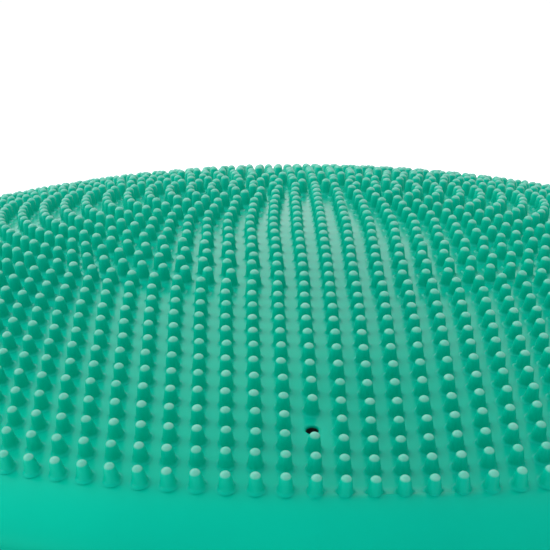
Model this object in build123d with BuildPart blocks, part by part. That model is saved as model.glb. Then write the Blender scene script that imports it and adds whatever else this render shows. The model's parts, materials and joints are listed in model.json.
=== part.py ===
from build123d import *

import os
from math import acos, asin, cos, degrees, hypot, radians, sin, sqrt, tan

# Inflatable balance pad: a round cushion of two moulded PVC halves welded at a seam round its
# edge, covered on top with rings of soft nubs, and blown up through a needle valve near its edge.
# The origin is the centre of the underside, +Z is up and the valve is towards -Y. Millimetres.

# Crown of the upper half: the cap of a flattened ellipse
crown_half_width = 200.6
crown_half_height = 85.3
wall = 3.0

# Nubs: tapered pegs with round tips
nub_height = 4.0
nub_root_radius = 1.45
nub_neck_radius = 1.12
nub_neck_height = 3.1
nub_sink = 0.08

# Rings of nubs about the crown's centre. Each ring has this many more nubs than the one inside
# it: six on the inner rings, apart from two rings that break the rule, then a little more.
# Between the inner and the outer rings, every odd ring is fuller, and the more so the further
# out it is.
ring_count = 28
ring_pitch = 5.444
inner_rings = 8
inner_growth = 6
broken_rule = {1: 5, 4: 25}
middle_growth = 6.4
middle_shortfall = 4.5
odd_ring_extra = 0.075
outer_start = 16
outer_growth = 6.6
outer_shortfall = 9

# Edge: a rim arc turns each half to the vertical, where flat flanges are welded together
rim_radius = 15.0
flange_width = 4.2
flange_thickness = 1.6
flange_rounding = 0.9

# Underside: a flat middle with low grip ribs, and a shallow rise to the rim
flat_radius = 112.0
rise_angle = 14.0
rib_height = 1.2
rib_width = 3.0
rib_pitch = 11.0
rib_count = 9
rib_rounding = 0.4
foot_radius = 5.5

# Needle valve: it takes the place of one nub
valve_ring = 25
valve_angle = -90.0
needle_hole_radius = 1.25
boss_radius = 12.0
boss_height = 3.0
seat_depth = 4.4
patch_radius = 11.0
patch_thickness = 1.5
barrel_radius = 7.0
barrel_length = 18.0
core_radius = 4.0
core_length = 14.0
neck_radius = 2.2
neck_length = 3.0
bead_radius = 5.0
bead_length = 2.5
bead_depth = 8.0
guide_depth = 6.0
air_hole_radius = 1.6


def nubs_on(ring):
    """How many nubs a ring has, before the valve takes the place of one."""
    if ring < inner_rings:
        return broken_rule.get(ring, inner_growth * ring)
    if ring >= outer_start:
        return round(outer_growth * ring - outer_shortfall)
    extra = odd_ring_extra * (ring - inner_rings) ** 2 if ring % 2 else 0
    return round(middle_growth * ring - middle_shortfall + extra)


def crown_drop(radius):
    """How far the crown has fallen at this distance from its centre."""
    return crown_half_height * (1 - sqrt(1 - (radius / crown_half_width) ** 2))


def crown_lean(radius):
    """Degrees that the crown's outward normal leans away from straight up."""
    across = radius / crown_half_width**2
    up = sqrt(1 - (radius / crown_half_width) ** 2) / crown_half_height
    return degrees(asin(across / hypot(across, up)))


# Heights and radii that follow
shoulder_radius = ring_count * ring_pitch
shoulder_lean = crown_lean(shoulder_radius)
wall_radius = shoulder_radius + rim_radius * (1 - sin(radians(shoulder_lean)))
edge_radius = wall_radius + flange_width
rise_radius = (
    wall_radius - flat_radius - rim_radius * (1 - sin(radians(rise_angle)))
) / sin(radians(rise_angle))
seam_height = (
    rib_height
    + rise_radius * (1 - cos(radians(rise_angle)))
    + rim_radius * cos(radians(rise_angle))
    + flange_thickness
)
shoulder_height = (
    seam_height + flange_thickness + rim_radius * cos(radians(shoulder_lean))
)
crown_height = shoulder_height + crown_drop(shoulder_radius)
crown_centre = crown_height - crown_half_height


def crown_plane(radius, angle):
    """Plane on the crown's surface, with its normal along the crown's outward normal."""
    lean = radians(crown_lean(radius))
    turn = radians(angle)
    origin = (radius * cos(turn), radius * sin(turn), crown_height - crown_drop(radius))
    normal = (sin(lean) * cos(turn), sin(lean) * sin(turn), cos(lean))
    return Plane(origin=origin, x_dir=(-sin(turn), cos(turn), 0), z_dir=normal)


valve_plane = crown_plane(valve_ring * ring_pitch, valve_angle)
start_angle = valve_angle + 360 / nubs_on(valve_ring)
os.makedirs("parts", exist_ok=True)


def upper_section(inset):
    """Section of the upper half, this far inside its outer face. The crown is an ellipse's arc,
    drawn as the Bezier curve that lies within 0.01 mm of it."""
    half_width = crown_half_width - inset
    half_height = crown_half_height - inset
    end = acos(shoulder_radius / crown_half_width)
    reach = 4 / 3 * tan((radians(90) - end) / 4)
    with BuildSketch(Plane.XZ) as section:
        with BuildLine():
            crown = Bezier(
                (0, crown_centre + half_height),
                (half_width * reach, crown_centre + half_height),
                (
                    half_width * (cos(end) - reach * sin(end)),
                    crown_centre + half_height * (sin(end) + reach * cos(end)),
                ),
                (half_width * cos(end), crown_centre + half_height * sin(end)),
            )
            turn = (crown % 1).get_angle(Vector(0, -1))
            rim = JernArc(crown @ 1, crown % 1, rim_radius - inset, -turn)
            Polyline(rim @ 1, ((rim @ 1).X, seam_height), (0, seam_height), crown @ 0)
        make_face()
    return section.sketch


def lower_section(inset):
    """Section of the lower half, this far inside its outer face."""
    with BuildSketch(Plane.XZ) as section:
        with BuildLine():
            middle = Line((0, rib_height + inset), (flat_radius, rib_height + inset))
            rise = JernArc(middle @ 1, middle % 1, rise_radius - inset, rise_angle)
            rim = JernArc(rise @ 1, rise % 1, rim_radius - inset, 90 - rise_angle)
            Polyline(rim @ 1, ((rim @ 1).X, seam_height), (0, seam_height), middle @ 0)
        make_face()
    return section.sketch


def flange_outline():
    """Ring-shaped outline of a weld flange, on the seam's plane."""
    with BuildSketch(Plane.XY.offset(seam_height)) as outline:
        Circle(edge_radius)
        Circle(wall_radius - wall / 2, mode=Mode.SUBTRACT)
    return outline.sketch


# Upper skin: crown, rim and weld flange, with a boss inside where the valve seats, and a socket
# in the boss for the neck of the valve core
core_plane = valve_plane.offset(-seat_depth)
with BuildPart() as upper_skin:
    revolve(upper_section(inset=0), axis=Axis.Z)
    revolve(upper_section(inset=wall), axis=Axis.Z, mode=Mode.SUBTRACT)
    extrude(flange_outline(), amount=flange_thickness)
    flange_edges = upper_skin.edges().filter_by(
        lambda edge: edge.geom_type == GeomType.CIRCLE and edge.radius > edge_radius - 1
    )
    fillet(flange_edges.sort_by(Axis.Z)[-1], flange_rounding)
    with BuildSketch(core_plane):
        Circle(boss_radius)
    extrude(amount=boss_height)
    with BuildSketch(core_plane):
        Circle(neck_radius)
    extrude(amount=neck_length, mode=Mode.SUBTRACT)
    with BuildSketch(valve_plane):
        Circle(needle_hole_radius)
    extrude(amount=seat_depth, both=True, mode=Mode.SUBTRACT)
upper_skin.part.label = "upper_skin"
export_step(upper_skin.part, "parts/upper_skin.step")

# Lower skin: flat middle with grip ribs, shallow rise, rim and weld flange
with BuildPart() as lower_skin:
    revolve(lower_section(inset=0), axis=Axis.Z)
    revolve(lower_section(inset=wall), axis=Axis.Z, mode=Mode.SUBTRACT)
    extrude(flange_outline(), amount=-flange_thickness)
    flange_edges = lower_skin.edges().filter_by(
        lambda edge: edge.geom_type == GeomType.CIRCLE and edge.radius > edge_radius - 1
    )
    fillet(flange_edges.sort_by(Axis.Z)[0], flange_rounding)
    with BuildSketch(Plane.XY):
        Circle(foot_radius)
    extrude(amount=rib_height)
    for rib in range(1, rib_count + 1):
        with BuildSketch(Plane.XY):
            Circle(rib * rib_pitch + rib_width / 2)
            Circle(rib * rib_pitch - rib_width / 2, mode=Mode.SUBTRACT)
        extrude(amount=rib_height)
    fillet(lower_skin.faces().sort_by(Axis.Z)[: rib_count + 1].edges(), rib_rounding)
lower_skin.part.label = "lower_skin"
export_step(lower_skin.part, "parts/lower_skin.step")

# Valve core: a rubber plug with a neck that lines the hole in the skin, a retaining bead, and a
# guide hole for the needle. The slit that goes on down from the guide hole is pressed shut, so it
# is solid here.
with BuildPart() as core_blank:
    with BuildSketch(core_plane):
        Circle(core_radius)
    extrude(amount=-core_length)
    with BuildSketch(core_plane):
        Circle(neck_radius)
    extrude(amount=neck_length)
    with BuildSketch(core_plane.offset(-bead_depth)):
        Circle(bead_radius)
    extrude(amount=-bead_length)
with BuildPart() as valve_core:
    add(core_blank.part)
    with BuildSketch(core_plane.offset(-guide_depth)):
        Circle(needle_hole_radius)
    extrude(amount=guide_depth + neck_length, mode=Mode.SUBTRACT)
valve_core.part.label = "valve_core"
export_step(valve_core.part, "parts/valve_core.step")

# Valve housing: a patch bonded under the boss, with a barrel that grips the core
with BuildPart() as valve_housing:
    with BuildSketch(core_plane):
        Circle(patch_radius)
    extrude(amount=-patch_thickness)
    with BuildSketch(core_plane):
        Circle(barrel_radius)
    extrude(amount=-barrel_length)
    with BuildSketch(core_plane):
        Circle(air_hole_radius)
    extrude(amount=-barrel_length, mode=Mode.SUBTRACT)
    add(core_blank.part, mode=Mode.SUBTRACT)
valve_housing.part.label = "valve_housing"
export_step(valve_housing.part, "parts/valve_housing.step")

# One nub: a tapered peg with a round tip, its root sunk a little into the skin it grows from
with BuildPart() as nub:
    with BuildSketch(Plane.XZ):
        with BuildLine():
            side = Polyline(
                (0, -nub_sink),
                (nub_root_radius, -nub_sink),
                (nub_neck_radius, nub_neck_height),
            )
            tip_drop = nub_height - nub_neck_height
            tip_radius = (nub_neck_radius**2 + tip_drop**2) / (2 * tip_drop)
            RadiusArc(side @ 1, (0, nub_height), -tip_radius)
            Line((0, nub_height), (0, -nub_sink))
        make_face()
    revolve(axis=Axis.Z)

# Rings of nubs, all with one nub on the same line from the centre. The centre has a single nub,
# and the valve takes one nub's place.
for ring in range(ring_count + 1):
    count = max(nubs_on(ring), 1)
    places = [
        Location(crown_plane(ring * ring_pitch, start_angle + 360 * turn / count))
        for turn in range(count)
        if ring != valve_ring or turn != count - 1
    ]
    with BuildPart() as nub_ring:
        with Locations(*places):
            add(nub.part)
    nub_ring.part.label = f"nub_ring_{ring:02d}"
    export_step(nub_ring.part, f"parts/nub_ring_{ring:02d}.step")
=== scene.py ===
import json
from math import atan2, cos, hypot, pi, radians, sin, sqrt, tan
from random import Random

import bpy
import numpy as np
from mathutils import Matrix, Vector


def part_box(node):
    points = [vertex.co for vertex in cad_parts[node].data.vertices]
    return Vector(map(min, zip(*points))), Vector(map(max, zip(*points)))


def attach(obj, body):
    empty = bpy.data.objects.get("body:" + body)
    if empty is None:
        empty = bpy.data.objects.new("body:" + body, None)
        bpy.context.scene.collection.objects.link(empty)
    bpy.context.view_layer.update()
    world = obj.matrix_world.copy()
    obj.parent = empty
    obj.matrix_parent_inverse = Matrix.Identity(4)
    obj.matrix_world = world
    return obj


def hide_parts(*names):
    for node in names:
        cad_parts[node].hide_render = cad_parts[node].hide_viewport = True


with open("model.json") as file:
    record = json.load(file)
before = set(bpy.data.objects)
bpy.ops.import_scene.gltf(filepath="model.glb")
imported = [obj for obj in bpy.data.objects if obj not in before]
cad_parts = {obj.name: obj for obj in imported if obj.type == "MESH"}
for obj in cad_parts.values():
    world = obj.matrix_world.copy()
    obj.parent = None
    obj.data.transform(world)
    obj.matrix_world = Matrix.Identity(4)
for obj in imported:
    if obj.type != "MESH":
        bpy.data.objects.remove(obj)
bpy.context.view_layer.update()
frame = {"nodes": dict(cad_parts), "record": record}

# Looks of the balance pad: its two skins, its rings of nubs and its valve. All sizes are in
# metres, in the frame of the CAD model: +Z is up and the valve is towards -Y.
mm = 0.001

# The CAD model's own dimensions, which the visible pieces share
crown_half_width = 200.6 * mm
crown_half_height = 85.3 * mm
wall = 3.0 * mm
nub_height = 4.0 * mm
nub_root_radius = 1.45 * mm
nub_neck_radius = 1.12 * mm
nub_neck_height = 3.1 * mm
ring_count = 28
ring_pitch = 5.444 * mm
inner_rings = 8
inner_growth = 6
broken_rule = {1: 5, 4: 25}
middle_growth = 6.4
middle_shortfall = 4.5
odd_ring_extra = 0.075
outer_start = 16
outer_growth = 6.6
outer_shortfall = 9
rim_radius = 15.0 * mm
flange_width = 4.2 * mm
flange_thickness = 1.6 * mm
flange_rounding = 0.9 * mm
flat_radius = 112.0 * mm
rise_angle = radians(14)
rib_height = 1.2 * mm
rib_width = 3.0 * mm
rib_pitch = 11.0 * mm
rib_count = 9
rib_rounding = 0.4 * mm
foot_radius = 5.5 * mm
valve_ring = 25
valve_angle = -pi / 2
hole_radius = 1.25 * mm
neck_radius = 2.2 * mm
neck_depth = 1.4 * mm
seat_depth = 4.4 * mm
boss_radius = 12.0 * mm

# What the frame says
seam_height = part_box("lower_skin")[1].z
crown_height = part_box("upper_skin")[1].z
valve = next(mount for mount in frame["record"]["mounts"] if mount["name"] == "needle_hole")
valve_mouth = Vector(valve["pos_m"])
valve_axis = Vector(valve["axis"])

# The skin has sunk a little beside the valve
dent_depth = 1.6 * mm
dent_radius = 30.0 * mm
dent_angle = valve_angle + radians(6)
dent_x = valve_ring * ring_pitch * cos(dent_angle)
dent_y = valve_ring * ring_pitch * sin(dent_angle)

# Finer shapes than the CAD model has: rounded edges and corners, rounder and fuller roots, and
# nubs that lean and differ in height a little
lip_rounding = 0.35 * mm
root_fillet = 0.65 * mm
root_swell = 0.15 * mm
nub_sink = 0.35 * mm
flange_corner = 0.6 * mm
seam_rounding = 0.3 * mm
nub_bend = 0.07 * mm
nub_stretch = 0.012

# How finely the meshes are divided. The crown's grid is left open in a block of rings and steps
# round the valve, which a patch of rows about the hole fills; its rows are closer to one another
# near the hole.
around = 288
crown_rings = 76
hole_block = range(61, 76)
hole_block_half = 5
patch_rings = 9
patch_crowding = 1.7
nub_sides = 16
tip_steps = 5
edge_steps = 5
fillet_steps = 5
corner_steps = 4
seam_steps = 3
rib_steps = 3
rim_steps = 14
top_lining_steps = 12
bottom_lining_steps = 10
rise_steps = 8
rise_lining_steps = 6
sharp_angle = radians(38)

# Angles in profiles, from straight up: the rim stops short of level, where the flange's corner is
level = pi / 2
down = pi
rim_stop = radians(87)

# Sizes of the patterns in the materials
cloud_size = 40 * mm
gloss_patch_size = 9 * mm
ripple_size = 3.5 * mm
# Size of the patches over which the painted highlight on the nub caps is stronger or fainter
highlight_patch_size = 2.5 * mm
grain_size = 0.28 * mm

# The painted highlight on a nub's cap, a paler colour standing in for light from above, begins and is
# complete at these shares of the nub's height
cap_start = 0.80
cap_full = 0.92


# The crown

def crown_lean(radius):
    """Angle that the crown's outward normal leans away from straight up."""
    across = radius / crown_half_width**2
    up = sqrt(1 - (radius / crown_half_width) ** 2) / crown_half_height
    return atan2(across, up)


def dent_at(x, y):
    """How far the skin has sunk at this place."""
    away = min(hypot(x - dent_x, y - dent_y) / dent_radius, 1)
    return dent_depth * cos(away * pi / 2) ** 2


def outer_point(x, y):
    """Point on the crown's outer face, dent included."""
    fall = 1 - sqrt(1 - (hypot(x, y) / crown_half_width) ** 2)
    return Vector((x, y, crown_height - crown_half_height * fall - dent_at(x, y)))


def inner_point(x, y):
    """Point on the crown's inner face, under the point of its outer face at (x, y)."""
    radius = hypot(x, y)
    lean = crown_lean(radius)
    shrink = 1 - wall * sin(lean) / radius if radius else 1
    fall = 1 - sqrt(1 - (radius / crown_half_width) ** 2)
    height = crown_height - crown_half_height * fall - wall * cos(lean)
    return Vector((x * shrink, y * shrink, height))


def outer_normal(x, y):
    """Outward normal of the crown's outer face, dent included."""
    step = 0.5 * mm
    along_x = outer_point(x + step, y) - outer_point(x - step, y)
    along_y = outer_point(x, y + step) - outer_point(x, y - step)
    return along_x.cross(along_y).normalized()


shoulder_radius = ring_count * ring_pitch
shoulder_lean = crown_lean(shoulder_radius)
wall_radius = shoulder_radius + rim_radius * (1 - sin(shoulder_lean))
edge_radius = wall_radius + flange_width
rim_centre = wall_radius - rim_radius
rise_radius = (rim_centre + rim_radius * sin(rise_angle) - flat_radius) / sin(rise_angle)


# Profiles and meshes

def arc(centre_r, centre_z, radius, start, end, steps):
    """Points of an arc in the (radius, height) plane. Its angles are from straight up, outwards."""
    turns = [start + (end - start) * step / steps for step in range(steps + 1)]
    return [(centre_r + radius * sin(turn), centre_z + radius * cos(turn)) for turn in turns]


def strip(rows):
    """Quads between each row of corners and the next. Every row is a closed loop."""
    return [
        (near[i - 1], far[i - 1], far[i], near[i])
        for near, far in zip(rows, rows[1:])
        for i in range(len(near))
    ]


def circle(points, radius, height):
    """Adds a ring of points about the pad's axis, and returns their indices."""
    first = len(points)
    for step in range(around):
        turn = valve_angle + 2 * pi * step / around
        points.append((radius * cos(turn), radius * sin(turn), height))
    return list(range(first, len(points)))


def add_piece(name, points, faces, material, replaced):
    """A smooth mesh piece on the pad's only body, in place of CAD nodes."""
    used = sorted({corner for face in faces for corner in face})
    place = {old: new for new, old in enumerate(used)}
    mesh = bpy.data.meshes.new(name)
    corners = [[place[corner] for corner in face] for face in faces]
    mesh.from_pydata([points[old] for old in used], [], corners)
    mesh.shade_smooth()
    mesh.set_sharp_from_angle(angle=sharp_angle)
    mesh.materials.append(material)
    piece = bpy.data.objects.new(name, mesh)
    bpy.context.scene.collection.objects.link(piece)
    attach(piece, "root")
    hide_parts(replaced)
    return piece


# Materials

def rubber(name, main, shade, pale, mirrored, roughness, grain, ripple, subsurface):
    """Moulded rubber or PVC: clouded colour, fine grain, uneven gloss, and a painted highlight:
    nub tips painted paler where light from above falls. Its gloss has a colour of its own when
    it is seen straight on, and none at a low angle."""
    material = bpy.data.materials.new(name)
    material.use_nodes = True
    nodes = material.node_tree.nodes
    links = material.node_tree.links
    shader = nodes["Principled BSDF"]
    place = nodes.new("ShaderNodeTexCoord").outputs["Object"]
    noise_low, noise_high = 0.3, 0.7
    gloss_spread = 0.05
    faintest_cap = 0.6

    def noise(size, detail):
        texture = nodes.new("ShaderNodeTexNoise")
        texture.inputs["Scale"].default_value = 1 / size
        texture.inputs["Detail"].default_value = detail
        links.new(place, texture.inputs["Vector"])
        return texture.outputs["Fac"]

    def spread(value, low, high):
        limits = nodes.new("ShaderNodeMapRange")
        limits.inputs["From Min"].default_value = noise_low
        limits.inputs["From Max"].default_value = noise_high
        limits.inputs["To Min"].default_value = low
        limits.inputs["To Max"].default_value = high
        links.new(value, limits.inputs["Value"])
        return limits.outputs["Result"]

    def mix(share, first, second):
        mixer = nodes.new("ShaderNodeMix")
        mixer.data_type = "RGBA"
        links.new(share, mixer.inputs[0])
        for colour, socket in ((first, mixer.inputs[6]), (second, mixer.inputs[7])):
            if isinstance(colour, tuple):
                socket.default_value = (*colour, 1)
            else:
                links.new(colour, socket)
        return mixer.outputs[2]

    clouds = mix(spread(noise(cloud_size, detail=3), 0, 1), main, shade)
    # Painted highlight: the nub caps are mixed towards the pale colour by their height up the nub,
    # standing in for light from above on the tips; a noise makes it fainter in patches
    rise = nodes.new("ShaderNodeAttribute")
    rise.attribute_name = "rise"
    painted_cap_highlight = nodes.new("ShaderNodeMath")
    painted_cap_highlight.operation = "MULTIPLY"
    cap = nodes.new("ShaderNodeMapRange")
    cap.interpolation_type = "SMOOTHSTEP"
    cap.inputs["From Min"].default_value = cap_start
    cap.inputs["From Max"].default_value = cap_full
    links.new(rise.outputs["Fac"], cap.inputs["Value"])
    links.new(cap.outputs["Result"], painted_cap_highlight.inputs[0])
    links.new(spread(noise(highlight_patch_size, detail=2), faintest_cap, 1), painted_cap_highlight.inputs[1])
    links.new(mix(painted_cap_highlight.outputs["Value"], clouds, pale), shader.inputs["Base Color"])

    patches = noise(gloss_patch_size, detail=5)
    gloss = spread(patches, roughness - gloss_spread, roughness + gloss_spread)
    links.new(gloss, shader.inputs["Roughness"])

    fine = nodes.new("ShaderNodeBump")
    fine.inputs["Strength"].default_value = 0.35
    fine.inputs["Distance"].default_value = grain
    links.new(noise(grain_size, detail=4), fine.inputs["Height"])
    soft = nodes.new("ShaderNodeBump")
    soft.inputs["Strength"].default_value = 0.3
    soft.inputs["Distance"].default_value = ripple
    links.new(noise(ripple_size, detail=2), soft.inputs["Height"])
    links.new(fine.outputs["Normal"], soft.inputs["Normal"])
    links.new(soft.outputs["Normal"], shader.inputs["Normal"])

    shader.inputs["IOR"].default_value = 1.5
    shader.inputs["Specular Tint"].default_value = (*mirrored, 1)
    shader.inputs["Subsurface Weight"].default_value = subsurface
    shader.inputs["Subsurface Radius"].default_value = (0.3, 1.0, 0.7)
    shader.inputs["Subsurface Scale"].default_value = 1.5 * mm
    return material


pvc = rubber(
    "green_pvc_satin",
    main=(0.0, 0.39, 0.265),
    shade=(0.0, 0.35, 0.245),
    # pale is the colour of the painted highlight on the nub caps
    pale=(0.165, 0.42, 0.345),
    mirrored=(0.05, 1.0, 0.8),
    roughness=0.22,
    grain=0.02 * mm,
    ripple=0.12 * mm,
    subsurface=0.3,
)
valve_rubber = rubber(
    "black_valve_rubber",
    main=(0.010, 0.010, 0.010),
    shade=(0.014, 0.014, 0.013),
    pale=(0.02, 0.02, 0.02),
    mirrored=(1.0, 1.0, 1.0),
    roughness=0.6,
    grain=0.03 * mm,
    ripple=0.18 * mm,
    subsurface=0.0,
)


# Top skin

def block_loop(rings):
    """The edge of the block of the grid that is left open round the valve, clockwise from above."""
    low, high = hole_block.start - 1, hole_block.stop - 2
    sides = range(-hole_block_half, hole_block_half)
    inner = [rings[low][step] for step in sides]
    right = [rings[ring][hole_block_half] for ring in range(low, high)]
    outer = [rings[high][-step] for step in sides]
    left = [rings[ring][-hole_block_half] for ring in range(high, low, -1)]
    return inner + right + outer + left


def open_grid(rings):
    """Quads of the crown's rings, without the block round the valve."""
    faces = []
    for ring, (near, far) in enumerate(zip(rings, rings[1:]), start=1):
        for step in range(around):
            beside = (step + hole_block_half) % around < 2 * hole_block_half
            if not (beside and ring in hole_block[:-1]):
                after = (step + 1) % around
                faces.append((near[step], far[step], far[after], near[after]))
    return faces


def sunk_mouth():
    """Where the valve's axis crosses the sunken skin."""
    point = valve_mouth.copy()
    rounds = 8
    for _ in range(rounds):
        point -= valve_axis * (point.z - outer_point(point.x, point.y).z) * valve_axis.z
    return point


def make_top_skin():
    """Crown with the valve's hole and boss, rim, flange and inner face, as one closed shell."""
    points = []
    crown = []
    for ring in range(1, crown_rings + 1):
        radius = shoulder_radius * ring / crown_rings
        crown.append(circle(points, radius, 0))
        for corner in crown[-1]:
            points[corner] = outer_point(*points[corner][:2])
    lining = []
    for ring in crown:
        first = len(points)
        points.extend(inner_point(*points[corner][:2]) for corner in ring)
        lining.append(list(range(first, len(points))))

    flange_top = seam_height + flange_thickness
    edge_round = edge_radius - flange_rounding
    corner_r, corner_z = wall_radius + flange_corner, flange_top + flange_corner
    seam_r, seam_z = edge_radius - seam_rounding, seam_height + seam_rounding
    lining_radius = rim_radius - wall
    profile = arc(rim_centre, flange_top, rim_radius, shoulder_lean, rim_stop, rim_steps)[1:]
    profile += arc(corner_r, corner_z, flange_corner, -level, -down, corner_steps)
    profile += arc(edge_round, flange_top - flange_rounding, flange_rounding, 0, level, edge_steps)
    profile += arc(seam_r, seam_z, seam_rounding, level, down, seam_steps)
    profile.append((wall_radius - wall, seam_height))
    profile += arc(rim_centre, flange_top, lining_radius, level, shoulder_lean, top_lining_steps)[:-1]
    rim = [circle(points, radius, height) for radius, height in profile]

    faces = open_grid(crown)
    faces += strip([crown[-1], *rim, lining[-1]])
    faces += [face[::-1] for face in open_grid(lining)]
    poles = ((crown[0], outer_point(0, 0), 1), (lining[0], inner_point(0, 0), -1))
    for ring, pole, order in poles:
        points.append(pole)
        for step in range(around):
            faces.append((len(points) - 1, ring[step - 1], ring[step])[::order])

    mouth = sunk_mouth()
    upslope = valve_axis.cross(Vector((1, 0, 0)))
    edge = block_loop(crown)
    rays = []
    for corner in edge:
        x, y = points[corner][:2]
        rays.append(Vector((x - mouth.x, (y - mouth.y) / valve_axis.z)))

    def patch_row(distances, face):
        """Adds a row round the valve's axis, at these distances from it on a face of the crown."""
        first = len(points)
        for ray, distance in zip(rays, distances):
            across, along = ray.normalized() * distance
            points.append(face(mouth.x + across, mouth.y + along * valve_axis.z))
        return list(range(first, len(points)))

    def bore_row(radius, centre):
        """Adds a circle round the valve's axis."""
        first = len(points)
        for ray in rays:
            across, along = ray.normalized() * radius
            points.append(centre + Vector((across, 0, 0)) + upslope * along)
        return list(range(first, len(points)))

    lip_radius = hole_radius + lip_rounding
    shares = [(step / patch_rings) ** patch_crowding for step in range(patch_rings - 1, -1, -1)]
    rows = [edge]
    for share in shares:
        distances = [lip_radius + (ray.length - lip_radius) * share for ray in rays]
        rows.append(patch_row(distances, outer_point))
    for radius, depth in arc(lip_radius, -lip_rounding, -lip_rounding, down, level, corner_steps)[1:]:
        rows.append(bore_row(radius, mouth + valve_axis * depth))
    for radius, depth in (
        (hole_radius, neck_depth),
        (neck_radius, neck_depth),
        (neck_radius, seat_depth),
        (boss_radius, seat_depth),
    ):
        rows.append(bore_row(radius, valve_mouth - valve_axis * depth))
    for share in reversed(shares):
        distances = [boss_radius + (ray.length - boss_radius) * share for ray in rays]
        rows.append(patch_row(distances, inner_point))
    rows.append(block_loop(lining))
    faces += strip(rows)
    return add_piece("top_skin", points, faces, pvc, "upper_skin")


# Bottom skin

def make_bottom_skin():
    """Inner face, weld flange, rim, rise and ribbed flat middle, as one closed shell."""
    flange_low = seam_height - flange_thickness
    flat = rib_height
    rise_centre = flat + rise_radius
    rise_end = down - rise_angle
    edge_round = edge_radius - flange_rounding
    corner_r, corner_z = wall_radius + flange_corner, flange_low - flange_corner
    seam_r, seam_z = edge_radius - seam_rounding, seam_height - seam_rounding
    profile = [(rib_pitch, flat + wall), (flat_radius, flat + wall)]
    profile += arc(flat_radius, rise_centre, rise_radius - wall, down, rise_end, rise_lining_steps)[1:]
    profile += arc(rim_centre, flange_low, rim_radius - wall, rise_end, level, bottom_lining_steps)[1:]
    profile.append((wall_radius - wall, seam_height))
    profile += arc(seam_r, seam_z, seam_rounding, 0, level, seam_steps)
    profile += arc(edge_round, flange_low + flange_rounding, flange_rounding, level, down, edge_steps)
    profile += arc(corner_r, corner_z, flange_corner, 0, -level, corner_steps)
    profile += arc(rim_centre, flange_low, rim_radius, down - rim_stop, rise_end, rim_steps)
    profile += arc(flat_radius, rise_centre, rise_radius, rise_end, down, rise_steps)[1:]
    for rib in range(rib_count, -1, -1):
        outside = rib * rib_pitch + rib_width / 2 if rib else foot_radius
        profile += rib_side(outside, 1)
        if rib:
            profile += rib_side(rib * rib_pitch - rib_width / 2, -1)[::-1]
    points = []
    rings = [circle(points, radius, height) for radius, height in profile]
    faces = strip(rings)
    for ring, height, order in ((rings[0], flat + wall, 1), (rings[-1], 0, -1)):
        points.append((0, 0, height))
        for step in range(around):
            faces.append((len(points) - 1, ring[step - 1], ring[step])[::order])
    return add_piece("bottom_skin", points, faces, pvc, "lower_skin")


def rib_side(radius, way):
    """Profile of a rib's side from its root to its flat face, outwards (1) or inwards (-1)."""
    bend = way * rib_rounding
    root = arc(radius + bend, rib_height - rib_rounding, bend, 0, -level, rib_steps)
    crest = arc(radius - bend, rib_rounding, bend, level, down, rib_steps)
    return root + crest


# Nubs

def nubs_on(ring):
    """How many nubs a ring has, before the valve takes the place of one."""
    if ring < inner_rings:
        return broken_rule.get(ring, inner_growth * ring)
    if ring >= outer_start:
        return round(outer_growth * ring - outer_shortfall)
    extra = odd_ring_extra * (ring - inner_rings) ** 2 if ring % 2 else 0
    return round(middle_growth * ring - middle_shortfall + extra)


def nub_profile():
    """Rows of a nub as (radius, height): a filleted root, a tapered side and a round tip."""
    root_radius = nub_root_radius + root_swell
    taper = atan2(root_radius - nub_neck_radius, nub_neck_height)
    reach = root_fillet * tan((level - taper) / 2)
    foot = root_radius + reach
    rows = [(foot - nub_sink, -nub_sink)]
    rows += arc(foot, root_fillet, -root_fillet, 0, level - taper, fillet_steps)
    rows.append(((root_radius + nub_neck_radius) / 2, nub_neck_height / 2))
    drop = nub_height - nub_neck_height
    tip_radius = (nub_neck_radius**2 + drop**2) / (2 * drop)
    start = atan2(nub_neck_radius, tip_radius - drop)
    rows += arc(0, nub_height - tip_radius, tip_radius, start, 0, tip_steps)[:-1]
    return rows


def make_nub_ring(ring, rows, start_angle):
    """Adds a ring of nubs. Each stands square to the skin, leans a little and has its own height.
    The mesh carries how far up its nub each point is, for the painted highlight on the caps."""
    chance = Random(ring)
    count = max(nubs_on(ring), 1)
    turns = np.arange(nub_sides) * 2 * pi / nub_sides
    radii, heights = np.array([*rows, (0, nub_height)]).T
    per_nub = len(rows) * nub_sides + 1
    row_of = np.repeat(np.arange(len(rows)), nub_sides).tolist() + [len(rows)]
    turn_of = np.append(np.tile(turns, len(rows)), 0)
    radius_of, height_of = radii[row_of], heights[row_of]

    loops = [list(range(row * nub_sides, (row + 1) * nub_sides)) for row in range(len(rows))]
    one = [loops[0][::-1]] + [face[::-1] for face in strip(loops)]
    one += [(loops[-1][side - 1], loops[-1][side], per_nub - 1) for side in range(nub_sides)]

    points, faces, rise = [], [], []
    for turn in range(count):
        if ring == valve_ring and turn == count - 1:
            continue
        angle = start_angle + 2 * pi * turn / count
        x, y = ring * ring_pitch * cos(angle), ring * ring_pitch * sin(angle)
        normal = outer_normal(x, y)
        side = normal.cross(Vector((cos(angle), sin(angle), 0))).normalized()
        other = normal.cross(side)
        bend = np.array(side) * chance.gauss(0, nub_bend)
        bend = bend + np.array(other) * chance.gauss(0, nub_bend)
        stretch = 1 + chance.gauss(0, nub_stretch)
        spin = turn_of + chance.uniform(0, 2 * pi)
        share = np.clip(height_of / nub_height, 0, 1)
        place = np.array(outer_point(x, y))
        place = place + np.outer(radius_of * np.cos(spin), side)
        place = place + np.outer(radius_of * np.sin(spin), other)
        place = place + np.outer(height_of * (1 + (stretch - 1) * share), normal)
        place = place + np.outer(share**2, bend)
        first = len(points)
        points.extend(place.tolist())
        faces.extend([[first + corner for corner in face] for face in one])
        rise.extend(share.tolist())
    node = f"nub_ring_{ring:02d}"
    piece = add_piece(f"nubs_ring_{ring:02d}", points, faces, pvc, node)
    piece.data.attributes.new("rise", "FLOAT", "POINT").data.foreach_set("value", rise)


# Camera, light and floor

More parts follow.
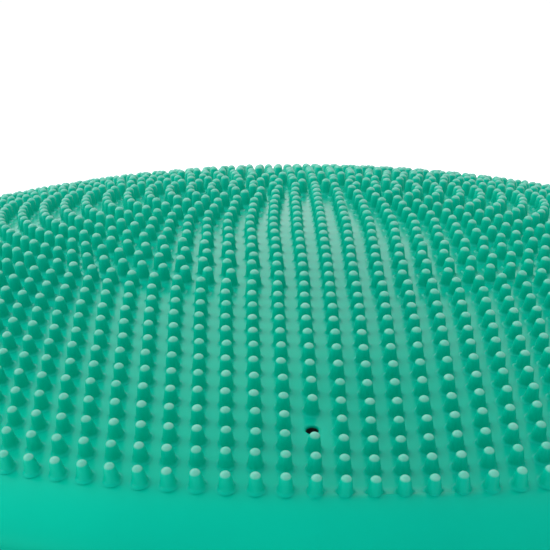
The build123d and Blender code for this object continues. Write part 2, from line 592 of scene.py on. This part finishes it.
def add_camera():
    """Low over the pad from in front of the valve, looking slightly down."""
    camera = bpy.data.objects.new("camera", bpy.data.cameras.new("camera"))
    bpy.context.scene.collection.objects.link(camera)
    bpy.context.scene.camera = camera
    camera.data.lens = 114.3
    camera.data.sensor_width = 36
    camera.data.clip_start = 0.01
    camera.data.dof.use_dof = False
    tilt, pan, roll = 0.20444, -0.02263, -0.00542
    ahead = Vector((sin(pan) * cos(tilt), cos(pan) * cos(tilt), -sin(tilt)))
    sideways = Vector((cos(pan), -sin(pan), 0))
    upright = sideways.cross(ahead)
    right = cos(roll) * sideways - sin(roll) * upright
    up = sin(roll) * sideways + cos(roll) * upright
    camera.matrix_world = Matrix((right, up, -ahead)).transposed().to_4x4()
    camera.location = (0, -0.4568, 0.1401)


def add_light(name, place, size, power, colour=(1, 1, 1), mirrored=True):
    """A soft square light that faces the pad, and may be mirrored in its gloss."""
    lamp = bpy.data.lights.new(name, "AREA")
    lamp.size = size
    lamp.energy = power
    lamp.color = colour
    light = bpy.data.objects.new(name, lamp)
    light.location = place
    light.rotation_euler = (Vector((0, 0, 0)) - Vector(place)).to_track_quat("-Z", "Y").to_euler()
    light.visible_glossy = mirrored
    bpy.context.scene.collection.objects.link(light)


def add_floor():
    """Plain pale floor, with a faint unevenness in its colour."""
    half = 8.0
    mesh = bpy.data.meshes.new("floor")
    corners = [(-half, -half, 0), (half, -half, 0), (half, half, 0), (-half, half, 0)]
    mesh.from_pydata(corners, [], [(0, 1, 2, 3)])
    floor = bpy.data.objects.new("floor", mesh)
    bpy.context.scene.collection.objects.link(floor)
    material = bpy.data.materials.new("pale_floor")
    material.use_nodes = True
    nodes = material.node_tree.nodes
    texture = nodes.new("ShaderNodeTexNoise")
    texture.inputs["Scale"].default_value = 3
    colours = nodes.new("ShaderNodeMix")
    colours.data_type = "RGBA"
    colours.inputs[6].default_value = (0.93, 0.93, 0.93, 1)
    colours.inputs[7].default_value = (0.96, 0.96, 0.96, 1)
    place = nodes.new("ShaderNodeTexCoord")
    material.node_tree.links.new(place.outputs["Object"], texture.inputs["Vector"])
    material.node_tree.links.new(texture.outputs["Fac"], colours.inputs[0])
    material.node_tree.links.new(colours.outputs[2], nodes["Principled BSDF"].inputs["Base Color"])
    nodes["Principled BSDF"].inputs["Roughness"].default_value = 0.8
    mesh.materials.append(material)


def add_world(strength):
    """Even white light from all round."""
    world = bpy.data.worlds.new("studio")
    world.use_nodes = True
    world.node_tree.nodes["Background"].inputs["Color"].default_value = (1, 1, 1, 1)
    world.node_tree.nodes["Background"].inputs["Strength"].default_value = strength
    bpy.context.scene.world = world


add_camera()
add_floor()
add_world(1.0)
add_light("key_from_behind", (-0.3, 1.0, 1.4), size=1.0, power=5, mirrored=False)
add_light(
    "fill_from_left",
    (-1.3, 0.2, 0.9),
    size=2.2,
    power=30,
    colour=(0.9, 1.0, 1.0),
    mirrored=False,
)
bpy.context.scene.view_settings.view_transform = "Standard"

for skin in (make_top_skin(), make_bottom_skin()):
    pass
nub_rows = nub_profile()
first_angle = valve_angle + 2 * pi / nubs_on(valve_ring)
for ring_number in range(ring_count + 1):
    make_nub_ring(ring_number, nub_rows, first_angle)
for node in ("valve_core", "valve_housing"):
    frame["nodes"][node].data.materials.clear()
    frame["nodes"][node].data.materials.append(valve_rubber)
